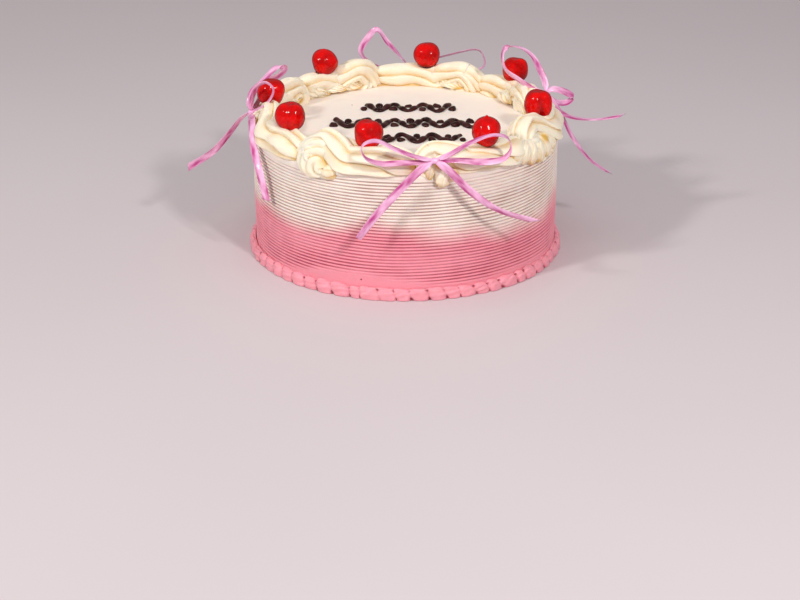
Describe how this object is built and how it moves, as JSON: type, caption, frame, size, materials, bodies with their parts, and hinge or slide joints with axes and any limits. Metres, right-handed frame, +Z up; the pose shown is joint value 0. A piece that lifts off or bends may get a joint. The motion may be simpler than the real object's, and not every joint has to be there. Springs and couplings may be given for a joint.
{
  "type": "vintage style cake",
  "caption": "Round uncut layer cake with a combed two-tone side, a beaded foot, a piped scroll border with cherries, tied ribbon bows and piped chocolate ornament on top.",
  "frame": {"origin": "centre of the cake's flat underside", "axes": "+Z up along the cake's axis, front faces -Y, +X to the right of one who looks at the front"},
  "size_m": [0.3128, 0.2435, 0.1282],
  "materials": {
    "cream": "combed buttercream, ivory above and pink below",
    "pink_cream": "piped pink buttercream",
    "piped_cream": "piped ivory cream, soft sheen",
    "cherry": "glossy candied cherry",
    "satin_ribbon": "pink satin ribbon",
    "chocolate": "piped dark chocolate, glossy"
  },
  "bodies": {
    "root": {"cake_body": "cream", "beaded_foot": "pink_cream", "scroll_front_left": "piped_cream", "scroll_front": "piped_cream", "scroll_front_right": "piped_cream", "scroll_right": "piped_cream", "scroll_back_right": "piped_cream", "scroll_back": "piped_cream", "scroll_back_left": "piped_cream", "scroll_left": "piped_cream", "cherry_front_left": "cherry", "cherry_front_right": "cherry", "cherry_right": "cherry", "cherry_back_right": "cherry", "cherry_back": "cherry", "cherry_back_left": "cherry", "cherry_left": "cherry", "cherry_left_front": "cherry", "bow_front": "satin_ribbon", "bow_left": "satin_ribbon", "bow_right": "satin_ribbon", "bow_back": "satin_ribbon"}
  },
  "joints": []
}
